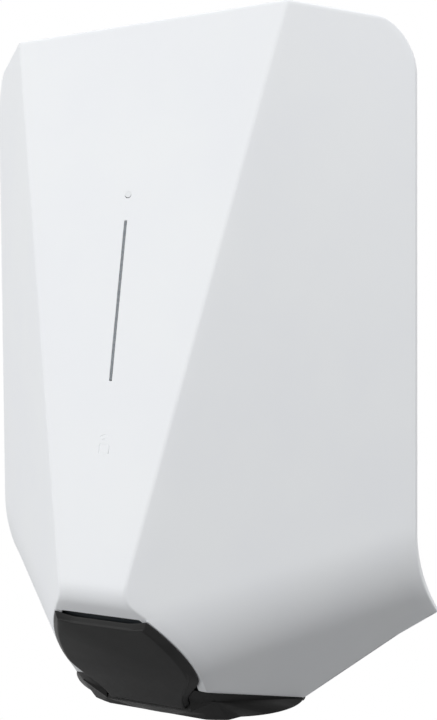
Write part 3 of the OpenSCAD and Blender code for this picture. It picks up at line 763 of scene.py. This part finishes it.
def islands(name):  # the separate solids of a CAD node, each as its points in m
    mesh = bmesh.new()
    mesh.from_mesh(nodes[name].data)
    bmesh.ops.remove_doubles(mesh, verts=mesh.verts, dist=1e-6)
    left, found = set(mesh.verts), []
    while left:
        queue, group = [left.pop()], []
        while queue:
            v = queue.pop()
            group.append(v.co.copy())
            for edge in v.link_edges:
                w = edge.other_vert(v)
                if w in left:
                    left.remove(w)
                    queue.append(w)
        found.append(group)
    mesh.free()
    return found


screwParts = {
    "sides": 40, "shankSides": 28, "slotDeep": 0.9, "turn": 0.7,  # turn in radians
    "brim": 0.7, "crown": 0.3, "crownTop": 0.74,  # shares of the head's height, and of its radius
    "places": (0.35, 0.6999, -0.4999),  # how high the brim, crown and shank are set, with a hair of overlap
    "head": 0.45, "shank": 0.98, "slot": 3,  # for a size given as 0, its share of the depth or the radius
}


def screwTree():  # a pan head with a cross or a slot in it, on a shank that runs down -Z from its seat
    part = screwParts
    tree, given = newTree("screw", "headRadius headHeight shankRadius shankLength slotWidth slotLength "
                                   "crossLength turn")
    radius, tall, long = given["headRadius"], given["headHeight"], given["shankLength"]
    head = cylinder(tree, part["sides"], radius, times(tree, tall, part["brim"]))
    links = {"Radius Top": times(tree, radius, part["crownTop"]), "Radius Bottom": radius,
             "Depth": times(tree, tall, part["crown"])}
    crown = addNode(tree, "GeometryNodeMeshCone", {"Vertices": part["sides"]}, links).outputs["Mesh"]
    shank = cylinder(tree, part["shankSides"], given["shankRadius"], long)
    places = zip((head, crown, shank), (tall, tall, long), part["places"])
    solids = [atHeight(tree, shape, times(tree, size, share)) for shape, size, share in places]
    whole = merged(tree, "UNION", solids)
    bars = []
    for x, y in (("slotLength", "slotWidth"), ("slotWidth", "crossLength")):
        size = vector(tree, X=given[x], Y=given[y], Z=times(tree, tall, part["slotDeep"]))
        bars.append(atHeight(tree, bar(tree, size), tall))
    links = {0: addNode(tree, "GeometryNodeInputIndex").outputs[0], 1: given["turn"]}
    angle = addNode(tree, "ShaderNodeMath", {"operation": "MULTIPLY"}, links)
    spin = addNode(tree, "ShaderNodeCombineXYZ", {"X": rad(90)}, {"Y": angle.outputs[0]})
    putOnPoints(tree, given, merged(tree, "DIFFERENCE", bars, whole), spin.outputs[0])
    return tree


sleeve = {
    "power_contacts": 3, "signal_contacts": 1.5, "floor": 3, "split": 0.5, "splitLength": 14,  # in mm
    "sides": 40, "barShare": 3,
}


def sleeveTree():  # a turned socket contact: a blind tube with a split mouth
    tree, given = newTree("sleeve", "outer inner length floor split splitLength lean")
    tube, bore = (cylinder(tree, sleeve["sides"], given[key], given["length"]) for key in ("outer", "inner"))
    half = times(tree, given["length"], 0.5)
    above = addNode(tree, "ShaderNodeMath", {"operation": "ADD"}, {0: half, 1: given["floor"]})
    cutters = [atHeight(tree, bore, above.outputs[0])]
    across, thin = times(tree, given["outer"], sleeve["barShare"]), given["split"]
    for x, y in ((across, thin), (thin, across)):
        size = vector(tree, X=x, Y=y, Z=given["splitLength"])
        cutters.append(atHeight(tree, bar(tree, size), given["length"]))
    shape = merged(tree, "DIFFERENCE", cutters, atHeight(tree, tube, half))
    putOnPoints(tree, given, shape, vector(tree, X=given["lean"]))
    return tree


screws = {  # head height, shank radius, slot width and length, cross length, in mm
    "unit_screws": (1.6, 1.35, 0.7, 3.6, 3.6),
    "socket_screws": (2.0, 1.6, 0.8, 4.0, 4.0),
    "board_screws": (2.0, 1.35, 0.7, 3.2, 3.2),
    "terminal_screws": (0, 0, 0.8, 0, 0.01),
}


def makeScrews(name, tree):
    part = screwParts
    tall, thin, slotWidth, slotLength, crossLength = (v * milli for v in screws[name])
    points = []
    for group in islands(name):
        xs, ys, zs = zip(*group)
        radius, depth = (max(xs) - min(xs)) / 2, max(ys) - min(ys)
        headHeight = tall or depth * part["head"]
        points.append(Vector(((max(xs) + min(xs)) / 2, min(ys) + headHeight, (max(zs) + min(zs)) / 2)))
        length = max(ys) - min(ys) - headHeight
    sizes = {"headRadius": radius, "headHeight": headHeight, "shankLength": length, "slotWidth": slotWidth,
             "shankRadius": thin or radius * part["shank"], "slotLength": slotLength or radius * part["slot"],
             "crossLength": crossLength, "turn": part["turn"]}
    points.sort(key=lambda p: (round(p.x, 3), round(p.z, 3)))
    return grow(name.split("_")[0] + "Screws", tree, points, [], sizes, finishOf[name])


def makeSleeves(name, tree):
    points = []
    for group in islands(name):
        along = [p.dot(chinOut) for p in group]
        flat = [p - chinOut * p.dot(chinOut) for p in group]
        xs, ups = [p.x for p in flat], [p.dot(-chinDown) for p in flat]
        spot = Vector(((min(xs) + max(xs)) / 2, 0, 0)) - chinDown * ((min(ups) + max(ups)) / 2)
        points.append(spot + chinOut * min(along))
        length, outer = max(along) - min(along), (max(xs) - min(xs)) / 2
    sizes = {key: sleeve[key] * milli for key in ("floor", "split", "splitLength")}
    sizes.update(outer=outer, inner=sleeve[name] * milli, length=length, lean=rad(90) + chinLean)
    return grow(name.split("_")[0] + "Sleeves", tree, points, [], sizes, finishOf[name])


screwShape, sleeveShape = screwTree(), sleeveTree()
small = {name: makeScrews(name, screwShape) for name in screws}
for name in ("power_contacts", "signal_contacts"):
    small[name] = makeSleeves(name, sleeveShape)
print("screws and sleeves grown:", len(small))


# The rubber flap: a pad that follows the cheeks, rounded at its hinge, with a finger dip and a sealing lip

flap = {
    "low": 0.3, "high": 2.5,  # its back and its face, out from the chin
    "top": 9.75, "bevel": 1.8,  # from the nose down to the back's top edge, and on down to the face's
    "scoop": 2.0, "scoopLoss": 0.35, "scoopSpan": 0.98, "scoopFlat": 1.6,  # its dip
    "wide": (26.2, 24.4), "narrow": (16.8, 15.9), "turnStart": (42, 37), "turnLength": (21, 26),  # back, face
    "cornerRound": 1.6, "cheekGap": 0.05,
    "hingeDrop": 64, "hingeOut": 1.4, "hingeRound": 1.1, "hingeEase": 0.3,
    "edgeRound": 0.7, "sideIn": 0.5, "backRound": 0.25, "backShare": 0.05,
    "topSteps": 28, "sideSteps": 40, "endSteps": 16, "wallRows": 6, "edgeRows": 5,
    "lipOuter": (19.5, 14.5), "lipInner": (18, 13),  # the radius of its D, and how high up it is cut flat
    "lipDepth": 1.2, "lipRound": 0.3, "lipRoot": 0.6, "lipSteps": 48,
    "padSharp": 40, "sharp": 35,
}


def flapHalf(down, out, share=0):  # half the flap's width at a distance down from the nose
    spot = chinPoint(0, wellDown - down, out)
    half = flankX(spot.y, spot.z) - flap["cheekGap"]
    wide, narrow, start, length = [a + (b - a) * share for a, b in (
        flap[key] for key in ("wide", "narrow", "turnStart", "turnLength"))]
    turn = min(max((down - start) / length, 0), 1)
    half = min(half, wide - (wide - narrow) * (1 - cos(math.pi * turn)) / 2)
    r = flap["cornerRound"]
    past = down - (flap["hingeDrop"] + flap["hingeRound"] - r)
    if past > 0:
        half -= r - sqrt(max(0, r * r - min(past, r) ** 2))
    return half


def flapLoop(out, inset, share):  # one outline of the pad, from its back (share 0) to its face (share 1)
    start = flap["top"] + share * flap["bevel"]
    dip = flap["scoop"] * (1 - flap["scoopLoss"] * share)
    lift = flap["hingeRound"] ** 2 - (out - flap["hingeOut"]) ** 2
    end = flap["hingeDrop"] + sqrt(max(0, lift)) - flap["hingeEase"] * inset
    step = share * flap["sideIn"] + inset
    across, along, under = flap["topSteps"], flap["sideSteps"], flap["endSteps"]

    def side(top, hand):  # down one long side
        downs = [top + (end - top) * sin(rad(90) * i / along) for i in range(1, along)]
        return [Vector((hand * (flapHalf(down, out, share) - step), down)) for down in downs]
    half, lowHalf = flapHalf(start, out) - step, flapHalf(end, out, share) - step
    reach = flapHalf(start, out) * flap["scoopSpan"]
    points = []
    for i in range(across + 1):  # the top edge
        x = -half + 2 * half * i / across
        deep = min(1, flap["scoopFlat"] * max(0, 1 - (abs(x) / reach) ** 2))
        points.append(Vector((x, start + dip * deep + inset)))
    points += side(points[-1].y, 1)
    points += [Vector((lowHalf - 2 * lowHalf * i / under, end)) for i in range(under + 1)]
    points += side(points[0].y, -1)[::-1]
    return [chinPoint(p.x, wellDown - p.y, out) for p in points]


def lipLoop(size, out):  # the D of the socket's mouth
    radius, flat = size
    start, count = asin(flat / radius), flap["lipSteps"]
    angles = [start - (rad(180) + 2 * start) * i / count for i in range(count + 1)]
    return [chinPoint(radius * cos(a), radius * sin(a), out) for a in angles]


def makeFlap():
    mesh, lip = bmesh.new(), bmesh.new()
    low, high, r, back = (flap[key] for key in ("low", "high", "edgeRound", "backRound"))
    levels = [(low, back, 0), (low + back, 0, flap["backShare"])]
    for i in range(1, flap["wallRows"] + 1):
        share = i / flap["wallRows"]
        levels.append((low + back + (high - r - low - back) * share, 0, share))
    for i in range(1, flap["edgeRows"] + 1):
        a = rad(90 / flap["edgeRows"] * i)
        levels.append((high - r + r * sin(a), r * (1 - cos(a)), 1))
    loops = loft(mesh, [flapLoop(*level) for level in levels])
    mesh.faces.new(loops[0])
    mesh.faces.new(loops[-1])
    piece = finish(mesh, "flapPad", flap["padSharp"])
    outer, inner, r = flap["lipOuter"], flap["lipInner"], flap["lipRound"]
    root, end = low + flap["lipRoot"], -flap["lipDepth"]
    loops = loft(lip, [lipLoop(*row) for row in (
        (outer, root), (outer, end + r), ([v - r for v in outer], end),
        ([v + r for v in inner], end), (inner, end + r), (inner, root))])
    stitch(lip, loops[-1], loops[0])
    carve(piece, finish(lip, "cutter"), "UNION")
    shade(piece, flap["sharp"])
    return piece


flapPad = makeFlap()
print("flap made:", len(flapPad.data.polygons), "faces")


# The rubber cap: flat cheeks under the seam, round front corners and the foot that bulges below its band

cap = {
    "ellipse": (50, 30.6), "cornerTurns": (40, 81, 5), "tip": 49.2, "cheekAt": 20, "ledge": 0.4,
    "foot": (49.2, 29, 1.95), "footSides": 60,  # a rounded box from above: two half widths and a power
    "footRows": ((0, 0.8), (0.3, 0.25), (0.8, 0)), "footBack": 1.2,  # up and in, and the rear tips
    "bandStart": -34, "bandFall": rad(17.9), "bandFront": 64.5, "bandRise": 0.8, "bandSteps": 12,
    "chinLine": 66, "nearlyFlat": rad(0.3),
    "back": 30, "overlap": 3, "wall": 2.5, "openTop": 4, "hollowIn": 1, "hollowBack": 2,
    "hingeClear": 0.4, "hingeSides": 40, "swing": rad(110), "swingReach": 40,
    "gap": 0.35, "pocket": (0.05, 9),  # round the flap, and how far out from the chin
    "sharp": 25,
}


def capPlanes(inset, ease):  # the planes that bound the cap, moved in by an inset and its seam by an ease
    lean, fall = body["underLean"], body["bendFall"]
    low = body["bottom"]
    planes = [((0, -cap["back"], seamZ - ease), (0, sin(body["seamFall"]), cos(body["seamFall"]))),
              ((0, 0, low + inset), (0, 0, -1)),
              ((0, -cap["back"] + cap["overlap"] - 2 * inset, 0), (0, 1, 0)),
              (chinPoint(0, 0, cap["ledge"] - inset), chinOut)]
    side = Vector((turnCos, -turnSin, 0))
    along = Vector((-turnSin, -turnCos, 0))
    normal = (side - along * (tan(lean) * sin(fall)) - Vector((0, 0, tan(lean) * cos(fall)))).normalized()
    x, y = flankPoint(cap["cheekAt"], seamZ, 0)
    for hand in (1, -1):
        spot = Vector((x * hand, y, seamZ))
        out = Vector((normal.x * hand, normal.y, normal.z))
        planes.append((spot - out * inset, out))
        planes.append(((cap["tip"] * hand, 0, 0), (hand, 0, 0)))
        for angle in range(*cap["cornerTurns"]):
            a, b = cap["ellipse"]
            t = rad(angle)
            spot = Vector((a * cos(t) * hand, -cap["back"] - b * sin(t), low))
            flat = Vector((cos(t) / a * hand, -sin(t) / b, 0)).normalized()
            out = (flat * cos(chinLean) - Vector((0, 0, sin(chinLean)))).normalized()
            planes.append((spot - out * inset, out))
    return planes


def capFoot():  # the hull of the foot's rim, the band's lower edge and the line under the flap
    a, b, power = cap["foot"]
    low, count, steps = body["bottom"], cap["footSides"], cap["bandSteps"]
    points = []
    for drop, inset in cap["footRows"]:
        for i in range(count + 1):
            t = rad(180) * i / count
            x = (a - inset) * abs(cos(t)) ** (2 / power) * (1 if cos(t) > 0 else -1)
            y = -cap["back"] - (b - inset) * sin(t) ** (2 / power)
            points.append(Vector((x, y, low + drop)))
    bandEnd = chinPoint(0, wellDown - cap["bandFront"], flap["high"]).y
    for i in range(steps + 1):
        y = cap["bandStart"] + (bandEnd - cap["bandStart"]) * i / steps
        z = low + cap["bandRise"] + (cap["bandStart"] - y) * tan(cap["bandFall"])
        x = min(flankX(y, z), cap["tip"])
        points += [Vector((x, y, z)), Vector((-x, y, z))]
    points += [Vector((x, -cap["back"], low + cap["footBack"])) for x in (-cap["tip"], cap["tip"])]
    half = flap["narrow"][0]
    points += [chinPoint(x, wellDown - cap["chinLine"], flap["high"]) for x in (-half, 0, half)]
    foot = bmesh.new()
    ring(foot, points)
    hull = bmesh.ops.convex_hull(foot, input=foot.verts)
    bmesh.ops.delete(foot, geom=[v for v in hull["geom_interior"] if isinstance(v, bmesh.types.BMVert)])
    bmesh.ops.dissolve_limit(foot, angle_limit=cap["nearlyFlat"], verts=foot.verts, edges=foot.edges)
    return finish(foot, "cutter")


def makeCap():
    piece = finish(convex(capPlanes(0, 0)), "baseCap", cap["sharp"])
    carve(piece, capFoot(), "UNION")
    hollow = capPlanes(cap["wall"], -cap["openTop"])
    hollow[2] = ((0, -cap["back"] - cap["hollowBack"], 0), (0, 1, 0))
    hollow[3] = (chinPoint(0, 0, -cap["wall"] - cap["hollowIn"]), chinOut)
    carve(piece, convex(hollow))
    pocket = bmesh.new()
    room = flapLoop(flap["low"], -cap["gap"], 0)  # the flap's own outline, with a gap round it
    for side in loft(pocket, [[p + chinOut * (out - flap["low"]) for p in room] for out in cap["pocket"]]):
        pocket.faces.new(side)
    carve(piece, pocket)
    clear = flap["hingeRound"] + cap["hingeClear"]
    width = 2 * (flap["narrow"][0] + cap["gap"])
    turnChin = Matrix((Vector((1, 0, 0)), -chinDown, chinOut)).transposed().to_4x4()
    axis = chinPoint(0, wellDown - flap["hingeDrop"], flap["hingeOut"])
    place = Matrix.Translation(axis) @ turnChin
    carve(piece, turned(rod(clear, width, cap["hingeSides"]), place @ Matrix.Rotation(rad(90), 4, "Y")))
    swept = box((-width / 2, 0, 0), (width / 2, cap["swingReach"], clear), 1)  # the flap swings through this
    carve(piece, turned(swept, place @ Matrix.Rotation(cap["swing"], 4, "X")))
    shade(piece, cap["sharp"])
    return piece


baseCap = makeCap()
print("cap made:", len(baseCap.data.polygons), "faces")

dress(coverShell, "front_cover", "cover")
dress(flapPad, "socket_flap", "flap")
for name, piece in small.items():
    dress(piece, name, "wall_unit")
dress(baseCap, "bottom_cap", "cover")

# Light, floor and backdrop

studio = {
    "key": ((-1.7, -1.1, 0.4), 1.1, 13.0),  # place, size in m and power in W
    "fill": ((-0.35, -1.95, 0.75), 1.3, 30.2),
    "back": ((1.55, 0.0, 1.3), 0.9, 30.5),
    "floorDrop": 2.4, "floorReach": 1.8,
    "sky": "#e8eaec", "ground": "#1a1c1e", "horizon": (-0.7, 0.5), "worldLevel": 0.12,
}
for name in ("key", "fill", "back"):
    place, size, power = studio[name]
    lampData = bpy.data.lights.new(name, "AREA")
    lampData.size, lampData.energy = size, power
    lamp = addObject(name, lampData)
    lamp.location = place
    lamp.rotation_euler = (-Vector(place)).to_track_quat("-Z", "Y").to_euler()

world = bpy.data.worlds.new("world")
scene.world = world
world.use_nodes = True
sky = world.node_tree
backdrop = sky.nodes["Background"]
backdrop.inputs["Color"].default_value = (1, 1, 1, 1)
around = addNode(sky, "ShaderNodeTexCoord")
height = addNode(sky, "ShaderNodeSeparateXYZ", links={"Vector": around.outputs["Generated"]})
low, high = studio["horizon"]
fade = addNode(sky, "ShaderNodeMapRange", {"From Min": low, "From Max": high}, {"Value": height.outputs["Z"]})
tones = {"data_type": "RGBA", 6: linear(studio["ground"]), 7: linear(studio["sky"])}
shades = addNode(sky, "ShaderNodeMix", tones, {0: fade.outputs["Result"]})
glow = addNode(sky, "ShaderNodeBackground", {"Strength": studio["worldLevel"]}, {"Color": shades.outputs[2]})
seen = addNode(sky, "ShaderNodeLightPath")
larger = {"operation": "MAXIMUM"}  # white for the camera and in reflections, the glow for everything else
mirrored = {0: seen.outputs["Is Glossy Ray"], 1: seen.outputs["Is Transmission Ray"]}
shiny = addNode(sky, "ShaderNodeMath", larger, mirrored)
shown = addNode(sky, "ShaderNodeMath", larger, {0: seen.outputs["Is Camera Ray"], 1: shiny.outputs["Value"]})
choice = addNode(sky, "ShaderNodeMixShader", links={
    "Fac": shown.outputs["Value"], 1: glow.outputs["Background"], 2: backdrop.outputs["Background"]})
sky.links.new(choice.outputs["Shader"], sky.nodes["World Output"].inputs["Surface"])

floorMesh = bmesh.new()
bmesh.ops.create_grid(floorMesh, x_segments=8, y_segments=8, size=studio["floorReach"])
floor = finish(floorMesh, "floor")
floor.location = (0, 0, -studio["floorDrop"])
floorPaint, floorTree, floorShader, floorPlace = newMaterial("plasterPainted", {"Roughness": 0.9})
mottled(floorTree, floorShader, floorPlace, "#f4f4f4", "#f1f1f1", 60)
floor.data.materials.append(floorPaint)
scene.view_settings.view_transform = "Standard"
print("studio lit")
